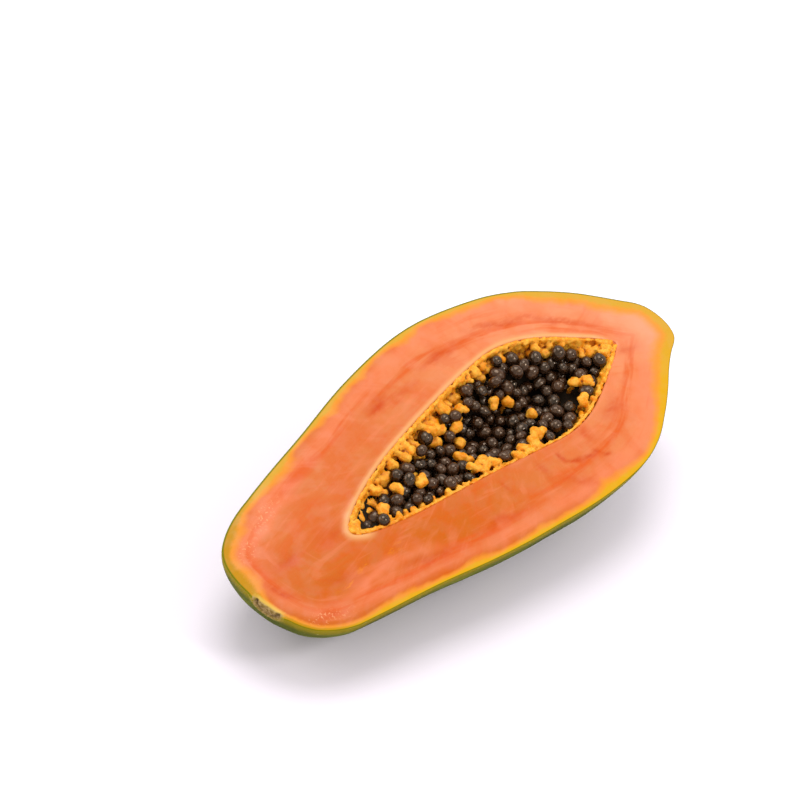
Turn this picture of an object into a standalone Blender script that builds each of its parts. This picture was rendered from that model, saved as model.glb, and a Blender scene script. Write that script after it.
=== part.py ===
"""Half of a long papaya, cut from stem end to blossom end, with its placenta and seeds.

Everything is modelled in the frame of the cut face: X runs from the stem end to the blossom end, Y across the
face to its back edge, and Z out of the face. An empty then lays the half on its skin, as it rests on a table:
rolled towards its front edge and pitched towards its stem end, on a small flat spot.
Units are metres. Run it with blender --background --python part.py, or from the text editor.
"""

import math
import random

import bmesh
import bpy
from mathutils import Matrix, Vector

# The pose at rest
ROLL = math.radians(15.0)
PITCH = math.radians(6.0)
FLAT_SPOT_DEPTH = 0.0008

# The whole fruit as a turned shape: (place along the axis, radius), from blossom end to stem end
FRUIT_PROFILE = (
    (0.1405, 0.0000),
    (0.1390, 0.0085),
    (0.1355, 0.0138),
    (0.1285, 0.0192),
    (0.1210, 0.0254),
    (0.1100, 0.0347),
    (0.0975, 0.0436),
    (0.0820, 0.0526),
    (0.0620, 0.0588),
    (0.0300, 0.0620),
    (0.0000, 0.0602),
    (-0.0330, 0.0550),
    (-0.0660, 0.0472),
    (-0.0960, 0.0410),
    (-0.1160, 0.0360),
    (-0.1285, 0.0296),
    (-0.1350, 0.0224),
    (-0.1384, 0.0124),
    (-0.1395, 0.0000),
)
FRUIT_HALF_LENGTH = 0.140
FRUIT_SIDES = 44
FRUIT_RINGS_PER_SPAN = 2
FRUIT_DEPTH_SHARE = 0.98

# Its bend, in the plane of the cut: the middle lies to the back, and both ends and the nipple to the front
BULGE = 0.0019
BEND_TO_STEM = 0.0046
SWAY_TO_BLOSSOM = 0.0054
SWAY_REACH = 0.085
NIPPLE_BEND = 0.0040
NIPPLE_REACH = 0.028
STEM_SLANT = 0.20
STEM_TUCK = 0.16
STEM_SLANT_REACH = 0.030

# The cut lies a little to one side of the fruit's middle, so the skin tucks in below its front edge
FRONT_TUCK = 0.045

# Five soft lobes: a flat side lies between two ridges
LOBES = 5
LOBE_FLAT_ANGLE = math.radians(-111.0)
LOBE_HEIGHT_AT_STEM = 0.008
LOBE_HEIGHT_AT_BLOSSOM = 0.026

# The scar that the fruit stalk leaves at the stem end, cut in half by the face
SCAR_CENTRE_Y = -0.0080
SCAR_RADIUS = 0.0085
SCAR_STAND_OUT = 0.0011
SCAR_SINK = 0.0016

# The seed cavity, also a turned shape
CAVITY_PROFILE = (
    (0.1070, 0.0000),
    (0.1020, 0.0050),
    (0.0900, 0.0125),
    (0.0780, 0.0195),
    (0.0640, 0.0255),
    (0.0480, 0.0284),
    (0.0300, 0.0270),
    (0.0070, 0.0236),
    (-0.0200, 0.0194),
    (-0.0450, 0.0150),
    (-0.0660, 0.0094),
    (-0.0780, 0.0044),
    (-0.0820, 0.0000),
)
CAVITY_CENTRE_X = 0.0125
CAVITY_HALF_LENGTH = 0.0945
CAVITY_SIDES = 24
CAVITY_RINGS_PER_SPAN = 2
CAVITY_DEPTH_SHARE = 0.95
CAVITY_BULGE = 0.0032
CAVITY_BEND = 0.0055

# The placenta: a soft lining of the cavity, with lobes along the rim and a few strands among the seeds
GAP = 0.0003
LINING_THICKNESS = 0.0016
LINING_DROP = 0.0010
RIM_ROWS = (
    # side of the face, spacing along the rim, drop below the face, reach into the cavity, share kept
    (+1, 0.0070, 0.0026, 0.0024, 1.00),
    (+1, 0.0090, 0.0068, 0.0034, 0.80),
    (-1, 0.0090, 0.0028, 0.0018, 0.75),
)
RIM_LOBE_SIZE = (0.0042, 0.0027, 0.0023)
RIM_END_MARGIN = 0.006
TRIM = 0.0010
STRAND_RADIUS = 0.0012
STRAND_HEAD = 0.0027
STRANDS = (
    # place on the face (along, across), size of its head
    (0.0320, 0.0110, 1.00),
    (0.0385, 0.0075, 1.05),
    (0.0440, -0.0050, 1.10),
    (0.0105, 0.0165, 0.95),
    (0.0045, 0.0110, 1.05),
    (0.0015, 0.0045, 1.00),
    (-0.0040, -0.0025, 1.35),
    (0.0005, -0.0100, 1.40),
    (0.0730, -0.0060, 1.25),
    (-0.0335, -0.0020, 1.15),
    (-0.0460, 0.0025, 1.20),
    (-0.0600, -0.0010, 1.15),
    (0.0340, -0.0165, 1.50),
    (-0.0065, -0.0120, 1.20),
)

# The seeds: balls in a dark bed whose middle is hollow
SEED_RADIUS = 0.0029
SEED_COUNT = 84
SEED_SPACING = 0.0057
SEED_STAND_OUT = 0.0009
SEED_STRETCH = 0.14
BED_DROP = 0.0038
HOLLOW_CENTRE = (0.026, 0.001, 0.008)
HOLLOW_SIZE = (0.074, 0.0185, 0.0240)
SEEDS_CLEAR_OF_BACK = 0.0060
SEEDS_CLEAR_OF_FRONT = 0.0034
SEEDS_CLEAR_OF_ENDS = 0.0050
PLACING_TRIES = 6000
BALL_SIDES = 7
BALL_RINGS = 4


def clear_scene():
    for obj in list(bpy.data.objects):
        bpy.data.objects.remove(obj)


def new_collection(name):
    collection = bpy.data.collections.new(name)
    bpy.context.scene.collection.children.link(collection)
    return collection


def material(name, colour, roughness):
    made = bpy.data.materials.new(name)
    made.use_nodes = True
    shader = made.node_tree.nodes["Principled BSDF"]
    shader.inputs["Base Color"].default_value = (*colour, 1.0)
    shader.inputs["Roughness"].default_value = roughness
    shader.inputs["Metallic"].default_value = 0.0
    return made


def through(points, per_span):
    """A smooth curve through a profile, mirrored at the axis so that both ends are round."""
    first = (points[1][0], -points[1][1])
    last = (points[-2][0], -points[-2][1])
    knots = [Vector(p) for p in (first, *points, last)]
    curve = [knots[1]]
    for i in range(1, len(knots) - 2):
        before, start, end, after = knots[i - 1 : i + 3]
        for step in range(1, per_span + 1):
            t = step / per_span
            curve.append(
                0.5
                * (
                    2 * start
                    + (end - before) * t
                    + (2 * before - 5 * start + 4 * end - after) * t**2
                    + (3 * start - before - 3 * end + after) * t**3
                )
            )
    return curve


def height_on(points, x):
    """The radius of a profile at a place along its axis, and 0 past its ends."""
    for (x0, r0), (x1, r1) in zip(points, points[1:]):
        if min(x0, x1) <= x <= max(x0, x1):
            return r0 + (r1 - r0) * (x - x0) / (x1 - x0)
    return 0.0


def turned(name, curve, sides, placed, collection, half_step=True):
    """A closed shape turned round X by a Screw, each point of which placed() then moves to its own place."""
    mesh = bpy.data.meshes.new(name + "_profile")
    turn = math.pi / sides if half_step else 0.0
    points = [(r * math.cos(turn), r * math.sin(turn), x) for x, r in curve]
    mesh.from_pydata(points, [(i, i + 1) for i in range(len(points) - 1)], [])
    profile = bpy.data.objects.new(name + "_profile", mesh)
    collection.objects.link(profile)
    screw = profile.modifiers.new("turn", "SCREW")
    screw.steps = screw.render_steps = sides
    screw.use_merge_vertices = True
    screw.merge_threshold = 1e-5
    bpy.context.view_layer.update()
    evaluated = profile.evaluated_get(bpy.context.evaluated_depsgraph_get())
    solid = bpy.data.meshes.new_from_object(evaluated)
    bpy.data.objects.remove(profile)
    for vertex in solid.vertices:
        y, z, x = vertex.co
        vertex.co = placed(x, math.hypot(y, z), math.atan2(z, y))
    made = bmesh.new()
    made.from_mesh(solid)
    bmesh.ops.remove_doubles(made, verts=made.verts, dist=1e-5)
    bmesh.ops.recalc_face_normals(made, faces=made.faces)
    made.to_mesh(solid)
    made.free()
    solid.name = name
    obj = bpy.data.objects.new(name, solid)
    collection.objects.link(obj)
    return obj


def fruit_middle(x):
    """How far the fruit's own middle line lies to the back, at a place along it."""
    to_stem = max(0.0, -x) / FRUIT_HALF_LENGTH
    sway = min(1.0, max(0.0, x / SWAY_REACH))
    nipple = max(0.0, 1 - (FRUIT_HALF_LENGTH - x) / NIPPLE_REACH)
    middle = BULGE - BEND_TO_STEM * to_stem**2
    return middle - SWAY_TO_BLOSSOM * sway**2 * (3 - 2 * sway) - NIPPLE_BEND * nipple**2


def lobe(x, angle):
    """The share by which a lobe raises the skin, or a flat side lowers it."""
    share = min(1.0, max(0.0, 0.5 + 0.5 * x / FRUIT_HALF_LENGTH))
    height = LOBE_HEIGHT_AT_STEM + (LOBE_HEIGHT_AT_BLOSSOM - LOBE_HEIGHT_AT_STEM) * share
    return -height * math.cos(LOBES * (angle - LOBE_FLAT_ANGLE))


def on_fruit(x, radius, angle):
    """A point of the turned fruit in its place: lobed, bent and slanted at the stem end."""
    radius *= 1 + lobe(x, angle)
    y = radius * math.cos(angle)
    z = radius * math.sin(angle) * FRUIT_DEPTH_SHARE
    near_stem = min(1.0, max(0.0, (-x - FRUIT_HALF_LENGTH + STEM_SLANT_REACH) / STEM_SLANT_REACH))
    return Vector((x - (STEM_SLANT * y + STEM_TUCK * z) * near_stem, y + fruit_middle(x) - FRONT_TUCK * z, z))


def cavity_middle(x):
    share = (x - CAVITY_CENTRE_X) / CAVITY_HALF_LENGTH
    return CAVITY_BULGE - CAVITY_BEND * share**2


def on_cavity(x, radius, angle):
    y = radius * math.cos(angle)
    z = radius * math.sin(angle) * CAVITY_DEPTH_SHARE
    return Vector((x, y + cavity_middle(x), z))


def inside(profile, inset):
    """A profile drawn in by an inset on all sides, with its ends back on the axis."""
    centre = CAVITY_CENTRE_X
    shrink = 1 - inset / CAVITY_HALF_LENGTH
    return [(centre + (x - centre) * shrink, max(0.0, r - inset) if r > 0 else 0.0) for x, r in profile]


def object_from(made, name, collection):
    mesh = bpy.data.meshes.new(name)
    made.to_mesh(mesh)
    made.free()
    obj = bpy.data.objects.new(name, mesh)
    collection.objects.link(obj)
    return obj


def box(name, low, high, collection):
    made = bmesh.new()
    size = Vector(high) - Vector(low)
    middle = (Vector(high) + Vector(low)) / 2
    bmesh.ops.create_cube(made, size=1.0, matrix=Matrix.Translation(middle) @ Matrix.Diagonal((*size, 1.0)))
    return object_from(made, name, collection)


def ball(name, matrix, collection, sides=BALL_SIDES, rings=BALL_RINGS):
    """A ball of radius 1 with few sides, stretched, turned and placed by a matrix."""
    made = bmesh.new()
    bmesh.ops.create_uvsphere(made, u_segments=sides, v_segments=rings, radius=1.0, matrix=matrix)
    return object_from(made, name, collection)


def combine(obj, operation, other, solver="EXACT"):
    """Joins to, or cuts from, a piece another object or all the objects of a collection."""
    modifier = obj.modifiers.new(operation.lower(), "BOOLEAN")
    modifier.operation = operation
    modifier.solver = solver
    if isinstance(other, bpy.types.Collection):
        modifier.operand_type = "COLLECTION"
        modifier.collection = other
    else:
        modifier.object = other
    bpy.context.view_layer.update()
    evaluated = obj.evaluated_get(bpy.context.evaluated_depsgraph_get())
    result = bpy.data.meshes.new_from_object(evaluated)
    obj.modifiers.remove(modifier)
    old = obj.data
    obj.data = result
    bpy.data.meshes.remove(old)
    used = list(other.objects) if isinstance(other, bpy.types.Collection) else [other]
    for helper in used:
        bpy.data.objects.remove(helper)


def frame_along(direction, up=Vector((0, 0, 1))):
    """A turn whose X axis points along a direction."""
    x = direction.normalized()
    y = up.cross(x).normalized()
    z = x.cross(y)
    return Matrix((x, y, z)).transposed().to_4x4()


def above(name, height, collection):
    """A block that holds everything above a height over the cut face."""
    reach = 2 * FRUIT_HALF_LENGTH
    return box(name, (-reach, -reach, height), (reach, reach, reach), collection)


def make_fruit(parts, cutters):
    """Flesh and skin, grown as one piece: turned, hollowed and cut in half."""
    fruit = turned(
        "fruit", through(FRUIT_PROFILE, FRUIT_RINGS_PER_SPAN), FRUIT_SIDES, on_fruit, parts
    )
    add_stalk_scar(fruit, cutters)
    combine(fruit, "DIFFERENCE", cavity_solid("cavity", 0.0, cutters))
    combine(fruit, "DIFFERENCE", above("upper_half", 0.0, cutters))
    return fruit


def scar_place():
    """The scar's middle on the slanted stem end, and the direction it faces."""
    stem_x, _ = FRUIT_PROFILE[-1]
    offset = SCAR_CENTRE_Y - fruit_middle(stem_x)
    next_x, next_radius = FRUIT_PROFILE[-2]
    bulge = (next_x - stem_x) * (offset / next_radius) ** 2
    middle = Vector((stem_x + bulge - STEM_SLANT * offset, SCAR_CENTRE_Y, 0.0))
    facing = Vector((-1.0, -STEM_SLANT + 2 * (next_x - stem_x) * offset / next_radius**2, 0.0))
    return middle, facing.normalized()


def add_stalk_scar(fruit, cutters):
    """A soft round swelling where the stalk came away, cut in half with the rest."""
    middle, facing = scar_place()
    matrix = (
        Matrix.Translation(middle - facing * SCAR_SINK)
        @ frame_along(facing)
        @ Matrix.Diagonal((SCAR_SINK + SCAR_STAND_OUT, SCAR_RADIUS, SCAR_RADIUS, 1.0))
    )
    combine(fruit, "UNION", ball("scar", matrix, cutters, sides=16, rings=8))


def rim_lobes(draw):
    """Matrices of the lobes along the rim, in rows on the back and front walls."""
    first, last = CAVITY_PROFILE[-1][0] + RIM_END_MARGIN, CAVITY_PROFILE[0][0] - RIM_END_MARGIN
    placed = []
    for side, spacing, drop, reach, kept in RIM_ROWS:
        count = int((last - first) / spacing)
        for i in range(count + 1):
            x = first + (last - first) * (i + draw.uniform(-0.25, 0.25)) / count
            x = min(last, max(first, x))
            size = draw.uniform(0.8, 1.15)
            turn = draw.uniform(-0.5, 0.5)
            sink = draw.uniform(-0.0008, 0.0006)
            if draw.random() > kept:
                continue
            radius = height_on(CAVITY_PROFILE, x)
            drop_here = min(drop, 0.45 * radius) + sink
            wall = radius * math.sqrt(max(0.0, 1 - (drop_here / (radius * CAVITY_DEPTH_SHARE)) ** 2))
            y = cavity_middle(x) + side * (wall - min(reach, 0.4 * wall))
            direction = Vector((turn, -side, -0.15))
            shape = Matrix.Diagonal((*(size * Vector(RIM_LOBE_SIZE)), 1.0))
            placed.append(Matrix.Translation((x, y, -drop_here)) @ frame_along(direction) @ shape)
    return placed


def bed_height(x, y):
    """The seed bed's surface: level near the rim, and dipping into the hollow."""
    cx, cy, cz = HOLLOW_CENTRE
    sx, sy, sz = HOLLOW_SIZE
    out = 1 - ((x - cx) / sx) ** 2 - ((y - cy) / sy) ** 2
    if out <= 0:
        return -BED_DROP
    return min(-BED_DROP, cz - sz * math.sqrt(out))


def in_seed_zone(x, y):
    radius = height_on(CAVITY_PROFILE, x)
    ends = min(x - CAVITY_PROFILE[-1][0], CAVITY_PROFILE[0][0] - x)
    middle = cavity_middle(x)
    return (
        ends > SEEDS_CLEAR_OF_ENDS
        and y < middle + radius - SEEDS_CLEAR_OF_BACK
        and y > middle - radius + SEEDS_CLEAR_OF_FRONT
    )


def scatter_seeds(draw, taken):
    """Places on the seed bed, each clear of the others and of those taken."""
    placed = []
    for _ in range(PLACING_TRIES):
        x = draw.uniform(CAVITY_PROFILE[-1][0], CAVITY_PROFILE[0][0])
        y = draw.uniform(-CAVITY_HALF_LENGTH / 2, CAVITY_HALF_LENGTH / 2)
        if len(placed) == SEED_COUNT:
            break
        if not in_seed_zone(x, y):
            continue
        point = Vector((x, y, bed_height(x, y)))
        if all((point - p).length > gap for p, gap in taken) and all(
            (point - p).length > SEED_SPACING for p in placed
        ):
            placed.append(point)
    return placed


def foot_of(head):
    """The height at which a strand grows out of the lining, below its head."""
    radius = height_on(CAVITY_PROFILE, head.x)
    offset = head.y - cavity_middle(head.x)
    floor = -CAVITY_DEPTH_SHARE * math.sqrt(radius**2 - offset**2)
    return floor + LINING_THICKNESS / 2


def cavity_solid(name, inset, collection):
    """The cavity's own shape as a solid, drawn in by an inset."""
    curve = through(inside(CAVITY_PROFILE, inset), CAVITY_RINGS_PER_SPAN)
    return turned(name, curve, CAVITY_SIDES, on_cavity, collection)


def add_strands(collection, heads, grow):
    """The head of each strand that shows among the seeds, and the thread that carries it from the lining."""
    for i, (head, head_size) in enumerate(heads):
        size = head_size + grow
        seat = Matrix.Translation(head + Vector((0, 0, SEED_STAND_OUT)))
        ball(f"strand_head_{i}", seat @ Matrix.Diagonal((size, size, size, 1.0)), collection)
        bottom = foot_of(head) - grow
        thread = bmesh.new()
        bmesh.ops.create_cone(
            thread,
            cap_ends=True,
            segments=6,
            radius1=STRAND_RADIUS + grow,
            radius2=STRAND_RADIUS + grow,
            depth=head.z - bottom,
            matrix=Matrix.Translation((head.x, head.y, (head.z + bottom) / 2)),
        )
        object_from(thread, f"strand_thread_{i}", collection)


def add_lobes(collection, lobes, grow):
    for i, matrix in enumerate(lobes):
        sizes = matrix.to_scale()
        larger = Matrix.Diagonal(tuple(1 + grow / s for s in sizes)).to_4x4()
        ball(f"rim_lobe_{i}", matrix @ larger, collection)


def make_placenta(parts, cutters, lobes, heads):
    """The lining with its lobes and strands, trimmed to lie a gap clear of the cavity's wall."""
    placenta = cavity_solid("placenta", -TRIM, parts)
    combine(placenta, "DIFFERENCE", cavity_solid("lining_inside", GAP + LINING_THICKNESS, cutters))
    combine(placenta, "DIFFERENCE", above("over_lining", -LINING_DROP, cutters))
    growth = new_collection("growth")
    add_lobes(growth, lobes, 0.0)
    add_strands(growth, heads, 0.0)
    combine(placenta, "UNION", growth, "MANIFOLD")
    bpy.data.collections.remove(growth)
    combine(placenta, "INTERSECT", cavity_solid("placenta_room", GAP, cutters))
    return placenta


def make_seeds(parts, cutters, lobes, heads, places, draw):
    """The seeds, fused to a dark bed that fills the cavity under them."""
    inset = 2 * GAP + LINING_THICKNESS
    seeds = cavity_solid("seeds", inset - TRIM, parts)
    combine(seeds, "DIFFERENCE", above("over_bed", -BED_DROP, cutters))
    cx, cy, cz = HOLLOW_CENTRE
    hollow = ball(
        "hollow",
        Matrix.Translation((cx, cy, cz)) @ Matrix.Diagonal((*HOLLOW_SIZE, 1.0)),
        cutters,
        sides=24,
        rings=16,
    )
    combine(seeds, "DIFFERENCE", hollow)
    balls = new_collection("balls")
    for i, place in enumerate(places):
        stretch = 1 + draw.uniform(0, SEED_STRETCH)
        spin = Matrix.Rotation(draw.uniform(0, math.pi), 4, "Z")
        lean = Matrix.Rotation(draw.uniform(0, math.pi), 4, "Y")
        seat = Matrix.Translation(place + Vector((0, 0, SEED_STAND_OUT)))
        shape = Matrix.Diagonal((SEED_RADIUS, SEED_RADIUS, SEED_RADIUS * stretch, 1.0))
        ball(f"seed_{i}", seat @ spin @ lean @ shape, balls)
    combine(seeds, "UNION", balls, "MANIFOLD")
    bpy.data.collections.remove(balls)
    room = new_collection("room_for_placenta")
    add_lobes(room, lobes, GAP)
    add_strands(room, heads, GAP)
    combine(seeds, "DIFFERENCE", room, "MANIFOLD")
    bpy.data.collections.remove(room)
    combine(seeds, "INTERSECT", cavity_solid("seed_room", inset, cutters))
    return seeds


def lay_down(fruit, pieces, parts, cutters):
    """Turns the half onto its skin, flattens the spot it rests on, and puts the origin under its middle."""
    turn = Matrix.Rotation(-PITCH, 4, "Y") @ Matrix.Rotation(ROLL, 4, "X")
    corners = [turn @ v.co for v in fruit.data.vertices]
    low = Vector([min(c[i] for c in corners) for i in range(3)])
    high = Vector([max(c[i] for c in corners) for i in range(3)])
    pose = bpy.data.objects.new("papaya_half_pose", None)
    parts.objects.link(pose)
    middle = (low + high) / 2
    pose.matrix_world = Matrix.Translation((-middle.x, -middle.y, -low.z - FLAT_SPOT_DEPTH)) @ turn
    for piece in pieces:
        piece.parent = pose
    bpy.context.view_layer.update()
    reach = FRUIT_HALF_LENGTH
    combine(fruit, "DIFFERENCE", box("table", (-reach, -reach, -reach), (reach, reach, 0.0), cutters))


def finish(obj, slot):
    obj.data.materials.clear()
    obj.data.materials.append(slot)
    obj.data.shade_smooth()
    obj.data.set_sharp_from_angle(angle=math.radians(35.0))


def main():
    clear_scene()
    parts = new_collection("papaya_half")
    cutters = new_collection("cutters")
    cutters.hide_render = True
    draw = random.Random(11)
    lobes = rim_lobes(draw)
    heads = [(Vector((x, y, bed_height(x, y))), STRAND_HEAD * size) for x, y, size in STRANDS]
    taken = [(place, SEED_RADIUS + size) for place, size in heads]
    taken += [(matrix.translation, SEED_SPACING) for matrix in lobes]
    places = scatter_seeds(draw, taken)
    fruit = make_fruit(parts, cutters)
    placenta = make_placenta(parts, cutters, lobes, heads)
    seeds = make_seeds(parts, cutters, lobes, heads, places, draw)
    finish(fruit, material("fruit", (0.90, 0.33, 0.11), 0.45))
    finish(placenta, material("placenta", (0.88, 0.42, 0.06), 0.50))
    finish(seeds, material("seeds", (0.020, 0.014, 0.011), 0.25))
    lay_down(fruit, (fruit, placenta, seeds), parts, cutters)
    print("seeds placed", len(places), "lobes", len(lobes), "strands", len(heads))


main()
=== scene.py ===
"""Half of a long papaya on a pale floor, with its green skin, orange flesh, placenta and dark seeds.

The half is shaped in the frame of its cut face, in mm: X from the stem end to the blossom end, Y across the
face to its raised back edge, Z out of the face. POSE lays it on its skin.
"""

import math
import random

import bpy
import numpy as np
from mathutils import Euler, Matrix, Vector, kdtree, noise


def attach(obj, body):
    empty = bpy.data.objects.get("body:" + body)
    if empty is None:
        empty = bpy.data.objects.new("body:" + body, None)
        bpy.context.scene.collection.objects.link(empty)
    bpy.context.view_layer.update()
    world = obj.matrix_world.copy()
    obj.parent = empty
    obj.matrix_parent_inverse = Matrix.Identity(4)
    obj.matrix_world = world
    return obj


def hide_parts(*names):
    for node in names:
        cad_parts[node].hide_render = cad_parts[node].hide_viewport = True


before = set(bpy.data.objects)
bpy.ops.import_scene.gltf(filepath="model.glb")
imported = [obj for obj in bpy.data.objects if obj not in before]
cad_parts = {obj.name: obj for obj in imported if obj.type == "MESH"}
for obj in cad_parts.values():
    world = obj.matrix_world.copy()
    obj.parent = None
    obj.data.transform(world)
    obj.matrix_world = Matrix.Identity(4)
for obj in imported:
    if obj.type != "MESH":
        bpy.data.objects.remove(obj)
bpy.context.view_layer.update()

MM = 0.001

# How the half lies
ROLL = math.radians(15.0)
PITCH = math.radians(6.0)
FACE_PLACE = (0.000157, -0.002726, 0.056002)
POSE = (
    Matrix.Translation(FACE_PLACE)
    @ Matrix.Rotation(-PITCH, 4, "Y")
    @ Matrix.Rotation(ROLL, 4, "X")
)
FACE_MM = POSE @ Matrix.Scale(MM, 4)

# The whole fruit as a turned shape: (place along the axis, radius), from stem end to blossom end
FRUIT_PROFILE = (
    (-139.5, 0.0),
    (-138.4, 12.4),
    (-135.0, 22.4),
    (-128.5, 29.6),
    (-116.0, 36.0),
    (-96.0, 41.0),
    (-66.0, 47.2),
    (-33.0, 55.0),
    (0.0, 60.2),
    (30.0, 62.0),
    (62.0, 58.8),
    (82.0, 52.6),
    (97.5, 43.6),
    (110.0, 34.7),
    (121.0, 25.4),
    (128.5, 19.2),
    (135.5, 13.8),
    (139.0, 8.5),
    (140.5, 0.0),
)
HALF_LENGTH = 140.0
DEPTH_SHARE = 0.98
BULGE = 1.9
BEND_TO_STEM = 4.6
SWAY_TO_BLOSSOM = 5.4
SWAY_REACH = 85.0
NIPPLE_BEND = 4.0
NIPPLE_REACH = 28.0
STEM_SLANT = 0.20
STEM_TUCK = 0.16
STEM_REACH = 30.0
FRONT_TUCK = 0.045
LOBES = 5
LOBE_FLAT_ANGLE = math.radians(-111.0)
LOBE_AT_STEM = 0.008
LOBE_AT_BLOSSOM = 0.026

# The scar of the fruit stalk, cut in half by the face, with its rings as (height, radius, width)
SCAR_Y = -8.0
SCAR_COLLAR = (0.7, 8.0, 1.6)
SCAR_GROOVE = (-0.45, 5.9, 0.9)
SCAR_PIT = (-0.4, 0.0, 1.3)
SCAR_STUB_HEIGHT = 0.55
SCAR_STUB_EDGE = (4.0, 5.6)
SCAR_REACH = 12.0

# The seed cavity
CAVITY_PROFILE = (
    (-82.0, 0.0),
    (-78.0, 4.4),
    (-66.0, 9.4),
    (-45.0, 15.0),
    (-20.0, 19.4),
    (7.0, 23.6),
    (30.0, 27.0),
    (48.0, 28.4),
    (64.0, 25.5),
    (78.0, 19.5),
    (90.0, 12.5),
    (102.0, 5.0),
    (107.0, 0.0),
)
CAVITY_FIRST = CAVITY_PROFILE[0][0]
CAVITY_LAST = CAVITY_PROFILE[-1][0]
CAVITY_CENTRE = 12.5
CAVITY_HALF_LENGTH = 94.5
CAVITY_DEPTH_SHARE = 0.95
CAVITY_BULGE = 3.2
CAVITY_BEND = 5.5

# Knobbly heads of the placenta's strands among the seeds: (along, across, size)
STRANDS = (
    (32.0, 11.0, 1.00),
    (38.5, 7.5, 1.05),
    (44.0, -5.0, 1.10),
    (10.5, 16.5, 0.95),
    (4.5, 11.0, 1.05),
    (1.5, 4.5, 1.00),
    (-4.0, -2.5, 1.35),
    (0.5, -10.0, 1.40),
    (73.0, -6.0, 1.25),
    (-33.5, -2.0, 1.15),
    (-46.0, 2.5, 1.20),
    (-60.0, -1.0, 1.15),
    (34.0, -16.5, 1.50),
    (-6.5, -12.0, 1.20),
)
# More clumps of the placenta on its front side
FRONT_CLUMPS = (
    (3.0, -15.0, 1.25),
    (-2.0, -13.5, 1.20),
    (16.5, -19.5, 1.15),
    (22.5, -19.0, 1.25),
    (28.5, -18.5, 1.30),
    (67.0, -17.0, 1.15),
    (79.0, -9.5, 1.15),
)

# The seed bed: how far its top lies below the face, the hollow in it, and its deeper dips
# (along, across, size, depth)
BED_DROP = 3.8
HOLLOW_CENTRE = (26.0, 1.0, 8.0)
HOLLOW_SIZE = (74.0, 18.5, 20.5)
DIPS = (
    (9.5, 2.0, 6.0, 6.0),
    (27.0, 3.0, 6.0, 6.0),
    (55.0, 5.0, 6.0, 6.0),
    (-72.0, 0.0, 4.0, 2.0),
)

# Patches on the flesh: (along, across, half length, half width, turn in degrees, strength)
DARK_PATCHES = (
    (-128.5, -6.0, 6.0, 2.0, -60.0, 0.9),
    (-114.5, 3.0, 7.0, 3.5, 0.0, 0.7),
    (-88.0, 2.0, 11.0, 5.0, -5.0, 0.5),
    (-103.0, -16.5, 7.0, 2.5, -25.0, 0.5),
    (-117.5, -27.5, 7.5, 2.0, -15.0, 0.6),
    (-25.0, 39.5, 8.0, 3.0, 10.0, 0.9),
    (-8.0, 38.0, 8.0, 2.5, 5.0, 0.5),
    (22.0, 43.0, 12.0, 2.5, 0.0, 0.8),
    (62.0, 40.0, 18.0, 2.5, -20.0, 0.75),
    (92.0, 23.0, 16.0, 2.5, -40.0, 0.65),
    (111.0, -10.0, 8.0, 2.5, -15.0, 0.6),
    (75.0, -28.0, 8.0, 3.5, 10.0, 0.6),
    (-60.0, -34.0, 13.0, 2.5, -15.0, 0.6),
    (-18.0, -40.0, 12.0, 2.5, -10.0, 0.6),
    (31.5, -32.5, 2.5, 1.0, -85.0, 1.0),
    (36.0, -38.0, 5.0, 1.5, -30.0, 1.0),
    (44.0, -40.5, 4.0, 1.5, -5.0, 0.9),
    (49.5, -41.0, 2.0, 1.0, -45.0, 0.7),
    (52.5, -44.5, 3.0, 1.0, -20.0, 0.9),
    (52.5, -30.5, 4.5, 2.0, -90.0, 0.6),
    (19.0, -32.5, 6.0, 2.0, -90.0, 0.5),
    (-3.5, -28.0, 4.0, 1.5, -80.0, 0.5),
    (30.5, -48.0, 9.0, 3.0, -45.0, 0.5),
)
PINK_PATCHES = (
    (-110.5, 23.5, 17.0, 3.5, 20.0, 0.9),
    (-90.0, -25.0, 18.0, 3.0, 0.0, 0.8),
    (-62.0, -28.5, 11.0, 2.5, -15.0, 0.5),
    (98.0, -30.0, 14.0, 6.0, 30.0, 0.6),
)
# Painted highlights: glints of wet spots on the flesh, painted as pale flecks
GLINT_PATCHES = (
    (-129.0, 18.0, 7.0, 3.0, 10.0, 1.0),
    (-108.0, 26.5, 9.0, 3.0, 15.0, 0.7),
    (-119.5, -27.0, 9.0, 3.0, -20.0, 0.8),
)
FLECK_PATCHES = (
    (-101.0, -21.0, 6.0, 2.0, 5.0, 0.8),
    (-88.0, -18.0, 6.0, 2.0, 5.0, 0.8),
    (-72.0, -19.5, 7.0, 2.0, -5.0, 0.8),
)


def screen(red, green, blue):
    """A colour given as it looks on a screen, 0 to 255, made linear."""
    linear = [((c / 255 + 0.055) / 1.055) ** 2.4 if c > 10 else c / 3294 for c in (red, green, blue)]
    return (*linear, 1.0)


def smooth_curve(knots, per_span=24):
    """A smooth curve through a profile's knots, mirrored at the axis so that both ends are round."""
    points = [np.array(k, float) for k in knots]
    points = [points[1] * (1, -1)] + points + [points[-2] * (1, -1)]
    curve = [points[1]]
    for before, start, end, after in zip(points, points[1:], points[2:], points[3:]):
        for step in range(1, per_span + 1):
            t = step / per_span
            curve.append(
                0.5
                * (
                    2 * start
                    + (end - before) * t
                    + (2 * before - 5 * start + 4 * end - after) * t**2
                    + (3 * start - before - 3 * end + after) * t**3
                )
            )
    curve = np.array(curve)
    curve[:, 1] = np.maximum(curve[:, 1], 0)
    lengths = np.concatenate([[0], np.cumsum(np.hypot(*np.diff(curve, axis=0).T))])
    return curve, lengths


def along_curve(curve, lengths, share):
    """The points at shares of a curve's length."""
    at = share * lengths[-1]
    return np.interp(at, lengths, curve[:, 0]), np.interp(at, lengths, curve[:, 1])


FRUIT_CURVE = smooth_curve(FRUIT_PROFILE)
CAVITY_CURVE = smooth_curve(CAVITY_PROFILE)


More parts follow.
